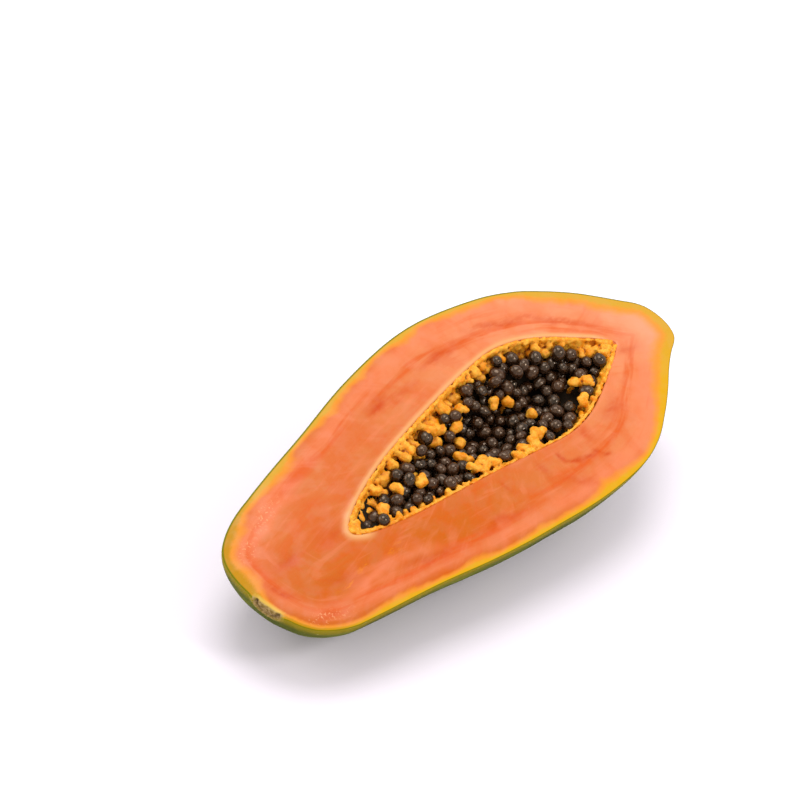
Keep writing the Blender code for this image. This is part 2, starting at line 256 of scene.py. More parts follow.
def fruit_middle(x):
    """How far the fruit's own middle line lies to the back, at places along it."""
    middle = BULGE - BEND_TO_STEM * (np.maximum(-x, 0) / HALF_LENGTH) ** 2
    nipple = np.maximum(0, 1 - (HALF_LENGTH - x) / NIPPLE_REACH)
    return middle - SWAY_TO_BLOSSOM * rise(x, 0, SWAY_REACH) - NIPPLE_BEND * nipple**2


def on_fruit(x, radius, angle):
    """Points of the turned fruit in their places: lobed, bent, and slanted at the stem end."""
    share = np.clip(0.5 + 0.5 * x / HALF_LENGTH, 0, 1)
    height = LOBE_AT_STEM + (LOBE_AT_BLOSSOM - LOBE_AT_STEM) * share
    radius = radius * (1 - height * np.cos(LOBES * (angle - LOBE_FLAT_ANGLE)))
    y = radius * np.cos(angle)
    z = radius * np.sin(angle) * DEPTH_SHARE
    near = np.clip((-x - HALF_LENGTH + STEM_REACH) / STEM_REACH, 0, 1)
    slanted = x - (STEM_SLANT * y + STEM_TUCK * z) * near
    return np.stack([slanted, y + fruit_middle(x) - FRONT_TUCK * z, z], -1)


def cavity_middle(x):
    return CAVITY_BULGE - CAVITY_BEND * ((x - CAVITY_CENTRE) / CAVITY_HALF_LENGTH) ** 2


def on_cavity(x, radius, angle, inset=0.0):
    radius = np.maximum(radius - inset, 0)
    x = CAVITY_CENTRE + (x - CAVITY_CENTRE) * (1 - inset / CAVITY_HALF_LENGTH)
    return np.stack(
        [x, cavity_middle(x) + radius * np.cos(angle), radius * np.sin(angle) * CAVITY_DEPTH_SHARE], -1
    )


def cavity_radius(x):
    curve = CAVITY_CURVE[0]
    return np.interp(x, curve[:, 0], curve[:, 1], left=0, right=0)


def cloud(point, size, seed=0.0):
    """Smooth noise from -1 to 1 whose lumps measure about size, at a point given in mm."""
    return noise.noise(Vector((point[0] / size + seed, point[1] / size, point[2] / size)))


def rise(value, low, high):
    """0 below low, 1 above high, and smooth between them."""
    t = np.clip((np.asarray(value, float) - low) / (high - low), 0, 1)
    return t * t * (3 - 2 * t)


def by_place(x, table):
    """A value that changes along the fruit, from a table of (place, value)."""
    return np.interp(x, [row[0] for row in table], [row[1] for row in table])


def deselect():
    if bpy.context.object and bpy.context.object.mode != "OBJECT":
        bpy.ops.object.mode_set(mode="OBJECT")
    bpy.ops.object.select_all(action="DESELECT")


def select(piece):
    deselect()
    piece.select_set(True)
    bpy.context.view_layer.objects.active = piece


def grid_piece(name, columns, rows):
    """A flat grid to be shaped: the object, each vertex's column and row, and the number of both."""
    deselect()
    bpy.ops.mesh.primitive_grid_add(x_subdivisions=columns, y_subdivisions=rows, size=1.0)
    piece = bpy.context.object
    piece.name = piece.data.name = name
    flat = coordinates(piece)
    across = len(np.unique(np.round(flat[:, 0], 6)))
    up = len(np.unique(np.round(flat[:, 1], 6)))
    i = np.rint((flat[:, 0] + 0.5) * (across - 1)).astype(int)
    j = np.rint((flat[:, 1] + 0.5) * (up - 1)).astype(int)
    return piece, i, j, across, up


def coordinates(piece):
    flat = np.zeros(len(piece.data.vertices) * 3)
    piece.data.vertices.foreach_get("co", flat)
    return flat.reshape(-1, 3)


def place(piece, points):
    """Moves a piece's vertices to points given in the frame of the cut face, and none below the floor."""
    turn, shift = np.array(FACE_MM.to_3x3()), np.array(FACE_MM.translation)
    world = np.asarray(points) @ turn.T + shift
    world[:, 2] = np.maximum(world[:, 2], 0.0)
    piece.data.vertices.foreach_set("co", world.ravel())
    piece.data.update()


def mark(piece, name, values):
    """Stores a number or a vector for each vertex, which the materials read."""
    values = np.asarray(values, float)
    kind, field = ("FLOAT", "value") if values.ndim == 1 else ("FLOAT_VECTOR", "vector")
    layer = piece.data.attributes.new(name, kind, "POINT")
    layer.data.foreach_set(field, values.ravel())


def weld(piece, distance=2e-6):
    """Merges doubles and turns all faces outwards."""
    select(piece)
    bpy.ops.object.mode_set(mode="EDIT")
    bpy.ops.mesh.select_all(action="SELECT")
    bpy.ops.mesh.remove_doubles(threshold=distance)
    bpy.ops.mesh.dissolve_degenerate(threshold=1e-7)
    bpy.ops.mesh.normals_make_consistent(inside=False)
    bpy.ops.object.mode_set(mode="OBJECT")
    bpy.ops.object.shade_smooth()


def apply_modifier(piece, kind, **settings):
    select(piece)
    modifier = piece.modifiers.new(kind.lower(), kind)
    for setting, value in settings.items():
        setattr(modifier, setting, value)
    bpy.ops.object.modifier_apply(modifier=modifier.name)


def copy_to(model, matrix):
    """A copy of a model with its own mesh, moved, turned and scaled to its place in the face's frame."""
    piece = model.copy()
    piece.data = model.data.copy()
    piece.data.transform(FACE_MM @ matrix)
    bpy.context.scene.collection.objects.link(piece)
    return piece


def join(pieces):
    select(pieces[0])
    for piece in pieces:
        piece.select_set(True)
    bpy.ops.object.join()
    return pieces[0]


def finish_piece(piece, node, material):
    piece.data.materials.clear()
    piece.data.materials.append(material)
    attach(piece, "root")
    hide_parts(node)


# Fruit: how many sections it has, and rows of the skin, of the cavity's wall and across the flesh
STATIONS = 300
SKIN_ROWS = 56
WALL_ROWS = 24
EDGE_STEPS = (0.0, 0.12, 0.3, 0.6, 1.1, 1.8, 2.7, 3.8)
RIM_STEPS = (3.4, 2.3, 1.5, 0.8, 0.3, 0.0)
MIDDLE_STEPS = 34
EDGE_ROUNDING = 0.22
RIM_ROUNDING = 0.55
LIP_HEIGHT = 0.25
DARK_DENT = 0.35
GRAIN_RADIUS = 95.0
WALL_DEPTH = 30.0
FAR_AWAY = 99.0
PATCH_TABLES = {"dark": DARK_PATCHES, "pink": PINK_PATCHES, "glint": GLINT_PATCHES, "fleck": FLECK_PATCHES}
PATCH_WOBBLE = 2.2
PATCH_WOBBLE_SIZE = 7.0


def station_shares(count):
    """Shares along the fruit's length, closer together at both ends."""
    t = np.linspace(0, 1, count)
    return t - 0.0765 * np.sin(2 * math.pi * t)


def face_steps(length):
    """Distances along a line across the flesh, from the skin to the cavity, fine at both ends."""
    scale = np.minimum(1.0, length / 12.0)
    near = [scale * step for step in EDGE_STEPS]
    far = [length - scale * step for step in RIM_STEPS]
    middle = [near[-1] + (far[0] - near[-1]) * k / MIDDLE_STEPS for k in range(1, MIDDLE_STEPS)]
    return near + middle + far


def scar_frame():
    """The scar's middle and the direction it faces."""
    tip, ring = FRUIT_PROFILE[0], FRUIT_PROFILE[1]
    offset = SCAR_Y - float(fruit_middle(np.float64(tip[0])))
    swell = (ring[0] - tip[0]) * (offset / ring[1]) ** 2
    middle = np.array([tip[0] + swell - STEM_SLANT * offset, SCAR_Y, 0.0])
    facing = np.array([-1.0, -STEM_SLANT + 2 * (ring[0] - tip[0]) * offset / ring[1] ** 2, 0.0])
    return middle, facing / np.linalg.norm(facing)


def scar_relief(points):
    """How far the skin stands out at the scar, and the distance from its middle."""
    middle, facing = scar_frame()
    away = points - middle
    out = away @ facing
    distance = np.linalg.norm(away - out[:, None] * facing, axis=1)
    distance = np.where(out > -SCAR_REACH, distance, FAR_AWAY)
    relief = SCAR_STUB_HEIGHT * (1 - rise(distance, *SCAR_STUB_EDGE))
    for height, radius, width in (SCAR_COLLAR, SCAR_GROOVE, SCAR_PIT):
        relief += height * np.exp(-(((distance - radius) / width) ** 2))
    return relief, distance, facing


def skin_relief(point, angle):
    """Long soft ridges and small dents of the skin."""
    x, y, z = point
    ridges = 0.22 * math.sin(9 * angle + 0.9 * cloud((x, 0, 0), 60)) * cloud((x, y, z), 55, 3.1)
    dents = 0.30 * cloud((x * 0.45, y, z), 17, 7.7) + 0.10 * cloud((x * 0.6, y, z), 6, 1.3)
    return ridges + dents


def patches(table, x, y):
    """How strongly a table's patches cover places on the face, from 0 to 1."""
    total = np.zeros(len(x))
    for middle_x, middle_y, half_long, half_wide, turn, strength in table:
        turn = math.radians(turn)
        along = (x - middle_x) * math.cos(turn) + (y - middle_y) * math.sin(turn)
        across = (y - middle_y) * math.cos(turn) - (x - middle_x) * math.sin(turn)
        total += strength * np.exp(-((along / half_long) ** 2) - (across / half_wide) ** 2)
    return np.minimum(1, total)


def lip(x, y, inner):
    """The pale lip of the cavity's rim, from 0 to 1: along the back edge and round the stem end."""
    middle = float(cavity_middle(x))
    back = float(rise(y - middle, -3.0, 4.0) * (1 - rise(x, 98.0, 108.0)))
    stem = float(1 - rise(x, -78.0, -70.0))
    wide = 1.2 + 0.8 * stem
    return max(back, stem) * math.exp(-(((inner - 0.9) / wide) ** 2))


def face_relief(point, depth, inner, dark):
    """The cut's unevenness: rounded edges, the rim's lip, a slow swell and the dark patches' dents."""
    x, y, _ = point
    edge = -EDGE_ROUNDING * max(0.0, 1 - depth / 0.6) ** 2
    rim = -RIM_ROUNDING * max(0.0, 1 - inner / 1.2) ** 2 + LIP_HEIGHT * lip(x, y, inner)
    inland = float(rise(depth, 0.5, 4.0) * rise(inner, 0.5, 3.0))
    swell = 0.28 * cloud((x, y, 0), 30, 4.2) + 0.12 * cloud((x, y, 0), 9, 8.4)
    return edge + rim + inland * (swell - DARK_DENT * dark)


def outline_tree(shape, curve):
    """Points close together along the outline that a turned shape has in the cut face."""
    x, radius = along_curve(*curve, np.linspace(0, 1, 2500))
    points = np.concatenate([shape(x, radius, 0.0), shape(x, radius, math.pi)])
    tree = kdtree.KDTree(len(points))
    for n, point in enumerate(points):
        tree.insert(Vector((point[0], point[1], 0.0)), n)
    tree.balance()
    return tree


def fruit_sections(shares):
    """Closed sections of the half: skin, face and cavity wall of the back side, then of the front side."""
    skin_angles = -math.pi / 2 * (1 - np.linspace(0, 1, SKIN_ROWS + 1) ** 0.8)
    wall_angles = -math.pi / 2 * np.linspace(0, 1, WALL_ROWS + 1) ** 1.3
    fruit_x, fruit_radius = along_curve(*FRUIT_CURVE, shares)
    cavity_x, cavity_r = along_curve(*CAVITY_CURVE, shares)
    sides = []
    for turned in (lambda angle: angle, lambda angle: -math.pi - angle):
        edge = on_fruit(fruit_x, fruit_radius, turned(0.0))
        rim = on_cavity(cavity_x, cavity_r, turned(0.0))
        length = np.linalg.norm(rim - edge, axis=1)
        rows = [on_fruit(fruit_x, fruit_radius, turned(angle)) for angle in skin_angles[:-1]]
        rows += [edge + (rim - edge) * (step / length)[:, None] for step in face_steps(length)]
        rows += [on_cavity(cavity_x, cavity_r, turned(angle)) for angle in wall_angles[1:]]
        sides.append(rows)
    return np.stack(sides[0] + sides[1][::-1], axis=1)


def make_fruit():
    face_rows = len(EDGE_STEPS) + MIDDLE_STEPS - 1 + len(RIM_STEPS)
    per_side = SKIN_ROWS + face_rows + WALL_ROWS
    piece, i, j, columns, _ = grid_piece("papaya_flesh", STATIONS, 2 * per_side - 1)
    shares = station_shares(columns)
    points = fruit_sections(shares)[i, j]
    row = np.minimum(j, 2 * per_side - 1 - j)
    side = np.where(j < per_side, 1.0, -1.0)
    on_skin = row < SKIN_ROWS
    on_wall = row >= SKIN_ROWS + face_rows
    on_face = ~on_skin & ~on_wall

    outline = outline_tree(on_fruit, FRUIT_CURVE)
    hole = outline_tree(on_cavity, CAVITY_CURVE)
    depth = np.where(on_wall, WALL_DEPTH, 0.0)
    inner = np.full(len(points), FAR_AWAY)
    for n in np.nonzero(on_face)[0]:
        depth[n] = outline.find(Vector(points[n]))[2]
        inner[n] = hole.find(Vector(points[n]))[2]
    depth[row == SKIN_ROWS] = 0.0
    turn = math.pi * shares[i]
    grain = np.stack([-GRAIN_RADIUS * np.cos(turn), side * GRAIN_RADIUS * np.sin(turn), depth], 1)
    marks = {"depth": depth, "grain": grain, "lip": np.zeros(len(points))}
    for n in np.nonzero(on_face)[0]:
        marks["lip"][n] = lip(points[n, 0], points[n, 1], inner[n])
    size = PATCH_WOBBLE_SIZE
    wobble = np.array([(cloud(p, size, 2.5), cloud(p, size, 6.5)) for p in points]) * PATCH_WOBBLE
    x, y = (points[:, :2] + wobble).T
    for name, table in PATCH_TABLES.items():
        marks[name] = patches(table, x, y) * on_face

    relief, marks["scar"], facing = scar_relief(points)
    fade = np.where(on_skin, 1.0, np.where(on_face, np.exp(-depth), 0.0))
    points += (relief * fade)[:, None] * facing
    outward = points - np.stack([points[:, 0], fruit_middle(points[:, 0]), 0 * points[:, 0]], 1)
    outward /= np.maximum(np.linalg.norm(outward, axis=1), 1e-6)[:, None]
    for n in np.nonzero(on_skin)[0]:
        angle = math.atan2(outward[n, 2], outward[n, 1])
        calm = float(rise(HALF_LENGTH - abs(points[n, 0]), 0, 12)) * float(rise(-points[n, 2], 0, 3))
        points[n] += outward[n] * skin_relief(points[n], angle) * calm
    points[on_skin, 2] -= EDGE_ROUNDING * np.exp(points[on_skin, 2] / 0.5)
    points[on_wall, 2] -= RIM_ROUNDING * np.exp(points[on_wall, 2] / 1.5)
    for n in np.nonzero(on_face)[0]:
        points[n, 2] += face_relief(points[n], depth[n], inner[n], marks["dark"][n])
    place(piece, points)
    for name, values in marks.items():
        mark(piece, name, values)
    weld(piece)
    return piece


# Seeds
SEED_LENGTH = 7.4
SEED_WIDTH = 6.6
SEED_COUNT = 215
LAYER_DEPTH = 12.0
SEED_INSET = 2.6
BED_CLEARANCE = 3.4
# How far the seeds' centres keep from the rim: (place along the fruit, distance)
SEEDS_FROM_BACK = (
    (-80.0, 4.0),
    (-50.0, 7.5),
    (0.0, 8.5),
    (12.0, 6.0),
    (55.0, 5.5),
    (85.0, 8.5),
    (102.0, 9.0),
)
SEEDS_FROM_FRONT = ((-80.0, 3.4), (-31.0, 4.2), (11.0, 3.6), (60.0, 3.2), (102.0, 4.0))
SEEDS_CLEAR_OF_STEM = 6.0
SEEDS_CLEAR_OF_BLOSSOM = 13.0
SEED_SIZES = (0.80, 1.12)
# How far a seed may stand above the bed's level: average, spread, lowest, highest
SEED_PROUD = (0.2, 1.5, -3.0, 1.8)
PACKING_STEPS = 200
PACKING_LIFT = 0.03
CLOSEST = 0.66
BED_BELOW_SEEDS = 7.0
BED_TINT = -1.0


def bed_height(x, y):
    """The top of the seeds' centres: level near the rim, and dipping into the hollow."""
    cx, cy, cz = HOLLOW_CENTRE
    sx, sy, sz = HOLLOW_SIZE
    out = 1 - ((x - cx) / sx) ** 2 - ((y - cy) / sy) ** 2
    dip = cz - sz * np.sqrt(np.maximum(out, 0))
    height = np.where(out > 0, np.minimum(-BED_DROP, dip), -BED_DROP)
    for dx, dy, size, depth in DIPS:
        height = height - depth * np.exp(-((x - dx) ** 2 + (y - dy) ** 2) / size**2)
    return height


def pack_seeds(draw, lumps):
    """Centres and sizes of seeds that lie on each other in the cavity, clear of the placenta's lumps."""
    first, last = CAVITY_FIRST + SEEDS_CLEAR_OF_STEM, CAVITY_LAST - SEEDS_CLEAR_OF_BLOSSOM
    points = []
    while len(points) < SEED_COUNT:
        x, y = draw.uniform(first, last), draw.uniform(-30, 32)
        if abs(y - cavity_middle(x)) < cavity_radius(x) - 4:
            points.append((x, y, float(bed_height(x, y)) - draw.uniform(0, LAYER_DEPTH)))
    points = np.array(points)
    sizes = np.array([draw.uniform(*SEED_SIZES) for _ in points])
    average, spread, lowest, highest = SEED_PROUD
    proud = np.array([min(highest, max(lowest, draw.gauss(average, spread))) for _ in points])
    reach = sizes[:, None] + sizes[None]
    lump_places = np.array([lump[:3] for lump in lumps])
    lump_sizes = np.array([lump[3] for lump in lumps])
    for _ in range(PACKING_STEPS):
        apart = points[:, None] - points[None]
        gap = np.linalg.norm(apart, axis=2) + np.eye(len(points)) * 99
        push = np.maximum(0, reach * SEED_WIDTH * 0.50 - gap) / gap
        points = points + 0.4 * (apart * push[..., None]).sum(1)
        apart = points[:, None] - lump_places[None]
        gap = np.linalg.norm(apart, axis=2)
        room = lump_sizes[None] + sizes[:, None] * (SEED_WIDTH / 2 - 0.6)
        push = np.maximum(0, room - gap) / np.maximum(gap, 0.1)
        points = points + 0.5 * (apart * push[..., None]).sum(1)
        points[:, 0] = np.clip(points[:, 0], first, last)
        middle, radius = cavity_middle(points[:, 0]), cavity_radius(points[:, 0])
        offset = points[:, 1] - middle
        offset = np.minimum(offset, np.maximum(radius - by_place(points[:, 0], SEEDS_FROM_BACK), 0.5))
        offset = np.maximum(offset, -np.maximum(radius - by_place(points[:, 0], SEEDS_FROM_FRONT), 0.5))
        room = np.maximum(radius - SEED_INSET - 1.5, 1.0)
        out = np.hypot(offset, points[:, 2] / CAVITY_DEPTH_SHARE)
        pull = np.minimum(1, room / np.maximum(out, 1e-6))
        offset, points[:, 2] = offset * pull, points[:, 2] * pull
        points[:, 1] = middle + offset
        top = bed_height(points[:, 0], points[:, 1]) + proud
        points[:, 2] = np.minimum(points[:, 2] + PACKING_LIFT, top)
    kept = []
    for n in np.argsort(-points[:, 2]):
        if all(np.linalg.norm(points[n] - points[k]) > SEED_WIDTH * CLOSEST for k in kept):
            kept.append(n)
    return points[kept], sizes[kept]


def seed_model(name, long, wide, flat, taper, shift):
    """One seed: an egg shape with a blunt and a pointed end, and shallow furrows in its coat."""
    deselect()
    bpy.ops.mesh.primitive_uv_sphere_add(segments=12, ring_count=8, radius=0.5)
    seed = bpy.context.object
    seed.name = seed.data.name = name
    points = coordinates(seed)
    narrow = 1 - taper * points[:, 2] * 2 * np.abs(points[:, 2])
    points *= np.stack([wide * narrow, wide * flat * narrow, np.full(len(points), long)], 1)
    for n, point in enumerate(points):
        points[n] *= 1 + 0.07 * cloud(point, 2.2, shift)
    seed.data.vertices.foreach_set("co", points.ravel())
    bpy.ops.object.shade_smooth()
    return seed


def make_seeds(draw, lumps):
    models = (
        seed_model("seed_oval", SEED_LENGTH, SEED_WIDTH, 0.94, 0.14, 0.3),
        seed_model("seed_round", SEED_LENGTH * 0.93, SEED_WIDTH * 1.04, 0.97, 0.08, 5.1),
        seed_model("seed_narrow", SEED_LENGTH * 1.06, SEED_WIDTH * 0.93, 0.90, 0.20, 9.7),
    )
    pieces = []
    for n, (centre, size) in enumerate(zip(*pack_seeds(draw, lumps))):
        model = draw.choice(models)
        turn = Euler((draw.gauss(math.pi / 2, 0.55), 0.0, draw.uniform(0, math.tau))).to_matrix().to_4x4()
        seed = copy_to(model, Matrix.Translation(centre) @ turn @ Matrix.Scale(size, 4))
        mark(seed, "tint", np.full(len(seed.data.vertices), draw.random()))
        mark(seed, "own", coordinates(model) + (n * 11.0, 0, 0))
        pieces.append(seed)
    for model in models:
        bpy.data.objects.remove(model)
    piece = join(pieces + [make_bed()])
    piece.name = piece.data.name = "papaya_seeds"
    weld(piece, 1e-7)
    return piece


def make_bed():
    """A ground below the seeds that show, for the deeper packed seeds; its material paints it blacker than
    the seeds as painted shade.
    """
    deselect()
    turn = (0, math.pi / 2, 0)
    bpy.ops.mesh.primitive_uv_sphere_add(segments=64, ring_count=72, radius=1.0, rotation=turn)
    bpy.ops.object.transform_apply(location=False, rotation=True, scale=False)
    bed = bpy.context.object
    ball = coordinates(bed)
    share = np.arccos(np.clip(-ball[:, 0], -1, 1)) / math.pi
    angle = np.arctan2(ball[:, 2], ball[:, 1])
    x, radius = along_curve(*CAVITY_CURVE, share)
    points = on_cavity(x, radius, angle, inset=SEED_INSET)
    offset = points[:, 1] - cavity_middle(points[:, 0])
    wall = CAVITY_DEPTH_SHARE * np.sqrt(np.maximum(cavity_radius(points[:, 0]) ** 2 - offset**2, 0))
    top = np.maximum(bed_height(points[:, 0], points[:, 1]) - BED_BELOW_SEEDS, BED_CLEARANCE - wall)
    points[:, 2] = np.where(ball[:, 2] > 0, top, np.minimum(points[:, 2], top - 0.05))
    place(bed, points)
    mark(bed, "tint", np.full(len(points), BED_TINT))
    mark(bed, "own", points)
    return bed


# Placenta
LINING_INSET = 0.35
LINING_THICKNESS = 1.3
LINING_DROP = 1.5
PULP_VOXEL = 0.42
PULP_KEPT = 0.41
# Grains of the pulp as (size, height), and the drop below the face over which they fade out
COARSE_GRAINS = (2.4, 0.45)
FINE_GRAINS = (1.1, 0.26)
GRAINS_FADE = (-20.0, -14.0)
CREASE_ROUNDS = 12
# Tongues of both walls: their reach, their lean along the fruit and their size, each as (place, value)
BACK_REACH = (
    (-80.0, 3.5),
    (-60.0, 6.5),
    (-35.0, 11.0),
    (4.0, 11.0),
    (16.0, 6.5),
    (58.0, 6.5),
    (80.0, 9.5),
    (104.0, 7.0),
)
BACK_LEAN = ((-80.0, 0.55), (5.0, 0.5), (30.0, 0.1), (60.0, -0.2), (104.0, -0.4))
BACK_SIZE = ((-80.0, 1.9), (-35.0, 2.5), (10.0, 2.5), (30.0, 2.2), (104.0, 2.3))
FRONT_REACH = (
    (-80.0, 3.0),
    (-45.0, 4.0),
    (-12.0, 3.2),
    (4.0, 1.4),
    (16.0, 2.4),
    (34.0, 4.0),
    (44.0, 1.2),
    (62.0, 3.4),
    (104.0, 2.0),
)
FRONT_LEAN = ((-80.0, 0.3), (104.0, -0.3))
FRONT_SIZE = (
    (-80.0, 1.7),
    (-12.0, 1.6),
    (4.0, 1.1),
    (20.0, 1.6),
    (34.0, 1.9),
    (44.0, 1.1),
    (62.0, 1.5),
    (104.0, 1.3),
)
# Side, highest and lowest drop of their roots below the face, share of the room between them
TONGUE_SIDES = ((1, 2.2, 10.0, 1.02), (-1, 1.9, 5.5, 1.15))
TONGUE_TRIES = 1400
WALL_LUMPS = 620
ROW_STEP = 1.1
FRONT_ROW_START = 84.0
# Heads of the strands: how far above the bed, the size from which one is a clump, and the thread below it
HEAD_ABOVE_BED = 2.2
CLUMP_FROM = 1.12
HEAD_SIZE = 2.8
CLUMP_SIZE = 2.5
HEAD_GROWTH = (0.95, 1.08)
KNOB_GROWTH = (0.6, 0.95)
THREAD_SIZE = 1.15
THREAD_STEP = 1.3
# Lumps that fill the cavity's pointed ends: first place, last place
END_LUMPS = ((-80.5, -75.0), (95.5, 105.5))


def wall_point(x, side, drop):
    """A point on the cavity's wall at a drop below the face, and the cavity's radius there."""
    radius = float(cavity_radius(x))
    drop = min(drop, 0.8 * radius * CAVITY_DEPTH_SHARE)
    reach = math.sqrt(max(0.0, radius**2 - (drop / CAVITY_DEPTH_SHARE) ** 2))
    return Vector((x, float(cavity_middle(x)) + side * reach, -drop)), radius


def tongue(draw, root, direction, length, size):
    """Lumps (place, size) in a row from the wall into the cavity, like a short knobbly finger."""
    lumps = []
    steps = max(1, round(length / (size * 0.75)))
    for k in range(steps + 1):
        share = k / steps
        sway = Vector((draw.uniform(-0.8, 0.8), draw.uniform(-0.5, 0.5), draw.uniform(-0.5, 0.5)))
        swell = size * (0.85 + 0.20 * share) * draw.uniform(0.72, 1.18)
        spot = root + direction * (0.4 + length * share) + sway
        spot.z = min(spot.z, -swell + 0.1)
        lumps.append((*spot, swell))
        for _ in range(draw.choice((0, 1, 1, 2))):
            away = Vector((draw.uniform(-1, 1), draw.uniform(-1, 1), draw.uniform(0, 0.9)))
            knob = spot + away * swell * 0.85
            small = swell * draw.uniform(0.35, 0.6)
            lumps.append((knob.x, knob.y, min(knob.z, -0.8 * small), small))
    return lumps


def tongues(draw):
    """Lumps of the tongues that grow from both walls, each root clear of its neighbours."""
    lumps = []
    shapes = {1: (BACK_REACH, BACK_LEAN, BACK_SIZE), -1: (FRONT_REACH, FRONT_LEAN, FRONT_SIZE)}
    for side, highest, lowest, room in TONGUE_SIDES:
        reaches, leans, sizes = shapes[side]
        roots = []
        for _ in range(TONGUE_TRIES):
            x, drop = draw.uniform(CAVITY_FIRST + 3.0, CAVITY_LAST - 4.0), draw.uniform(highest, lowest)
            size = by_place(x, sizes) * draw.uniform(0.72, 1.28)
            if any(math.hypot(x - ox, drop - od) < room * (size + other) for ox, od, other in roots):
                continue
            roots.append((x, drop, size))
            root, radius = wall_point(x, side, drop)
            lean = by_place(x, leans) + draw.uniform(-0.3, 0.3)
            direction = Vector((lean, -side, draw.uniform(-0.25, 0.05))).normalized()
            length = min(by_place(x, reaches) * draw.uniform(0.4, 1.3), 0.75 * radius + 1.0)
            lumps += tongue(draw, root, direction, max(0.5, length - size), size)
    return lumps


def wall_lumps(draw):
    """Small lumps on both walls, and rows of them right under the edge at the back and the blossom end."""
    lumps = []
    for x in np.arange(CAVITY_FIRST + 1.5, CAVITY_LAST - 1.0, ROW_STEP):
        x += draw.uniform(-0.5, 0.5)
        for side in (1, -1) if x > FRONT_ROW_START else (1,):
            size = draw.uniform(0.7, 1.6)
            root, radius = wall_point(x, side, 0.4)
            inwards = min(draw.uniform(0.6, 1.1), 0.6 * radius)
            lumps.append((x, root.y - side * inwards, 0.15 - size, size))
    for _ in range(WALL_LUMPS):
        x, side = draw.uniform(CAVITY_FIRST + 2.0, CAVITY_LAST - 2.0), draw.choice((-1, 1, 1))
        size = draw.uniform(0.8, 1.6) * (1.0 if side > 0 else 0.7)
        root, _ = wall_point(x, side, draw.uniform(0.8, 13.0) if side > 0 else draw.uniform(1.8, 7.0))
        y = root.y - side * draw.uniform(0.6, 1.6)
        lumps.append((x, y, min(root.z, 0.1 - size), size))
    return lumps


def end_lumps(draw):
    """Lumps that fill the cavity's pointed ends."""
    lumps = []
    for first, last in END_LUMPS:
        for x in np.arange(first, last, 1.3):
            size = min(2.0, 0.75 * float(cavity_radius(x)) + 0.3) * draw.uniform(0.8, 1.1)
            y = float(cavity_middle(x)) + draw.uniform(-0.5, 0.5) * max(0.0, float(cavity_radius(x)) - size)
            lumps.append((x, y, -size - draw.uniform(-0.3, 0.8), size))
    return lumps


def strand_heads(draw):
    """Lumps of the strands: a knobbly head among the seeds, and a thread down to the lining."""
    lumps = []
    for x, y, size in STRANDS + FRONT_CLUMPS:
        z = float(bed_height(x, y)) + HEAD_ABOVE_BED
        heads = 2 if size < CLUMP_FROM else 5
        for k in range(heads):
            spread = 2.3 * size if k else 0.0
            growth = draw.uniform(*(KNOB_GROWTH if k else HEAD_GROWTH))
            swell = (HEAD_SIZE if heads == 2 else CLUMP_SIZE) * growth
            spot = Vector((x + draw.uniform(-spread, spread), y + draw.uniform(-spread, spread), z))
            spot.z += draw.uniform(-0.9, 0.2) if k else 0.0
            lumps.append((spot.x, spot.y, min(spot.z, -swell + 0.1), swell))
        offset = y - float(cavity_middle(x))
        floor = -CAVITY_DEPTH_SHARE * math.sqrt(float(cavity_radius(x)) ** 2 - offset**2) + 1.5
        depth = z - 1.0
        while depth > floor:
            lumps.append((x + draw.uniform(-0.3, 0.3), y + draw.uniform(-0.3, 0.3), depth, THREAD_SIZE))
            depth -= THREAD_STEP
    return lumps


def make_lining():
    """The thin tissue on the cavity's wall, open at the face."""
    piece, i, j, columns, rows = grid_piece("papaya_placenta", 150, 81)
    x, radius = along_curve(*CAVITY_CURVE, station_shares(columns))
    half = rows // 2
    outside = j < half
    share = np.where(outside, j / (half - 1), (rows - 1 - j) / (rows - half - 1))
    inset = np.where(outside, LINING_INSET, LINING_INSET + LINING_THICKNESS)
    points = on_cavity(x[i], radius[i], -math.pi * share, inset)
    points[:, 2] = np.minimum(points[:, 2], -LINING_DROP)
    place(piece, points)
    weld(piece, 1e-5)
    return piece


def creases(piece, points, normals):
    """How far each vertex lies below its surroundings, in mm: above 0 in a crease, below 0 on a ridge."""
    ends = np.zeros(len(piece.data.edges) * 2, np.int32)
    piece.data.edges.foreach_get("vertices", ends)
    a, b = ends.reshape(-1, 2).T
    count = np.bincount(np.concatenate([a, b]), minlength=len(points))
    level = points.copy()
    for _ in range(CREASE_ROUNDS):
        sums = [
            np.bincount(a, level[b, k], len(points)) + np.bincount(b, level[a, k], len(points))
            for k in range(3)
        ]
        level = np.stack(sums, 1) / np.maximum(count, 1)[:, None]
    return ((level - points) * normals).sum(1) / MM


def lump_model():
    deselect()
    bpy.ops.mesh.primitive_ico_sphere_add(subdivisions=3, radius=1.0)
    lump = bpy.context.object
    points = coordinates(lump)
    for n, point in enumerate(points):
        points[n] *= 1 + 0.16 * cloud(point, 0.8, 2.0)
    lump.data.vertices.foreach_set("co", points.ravel())
    return lump


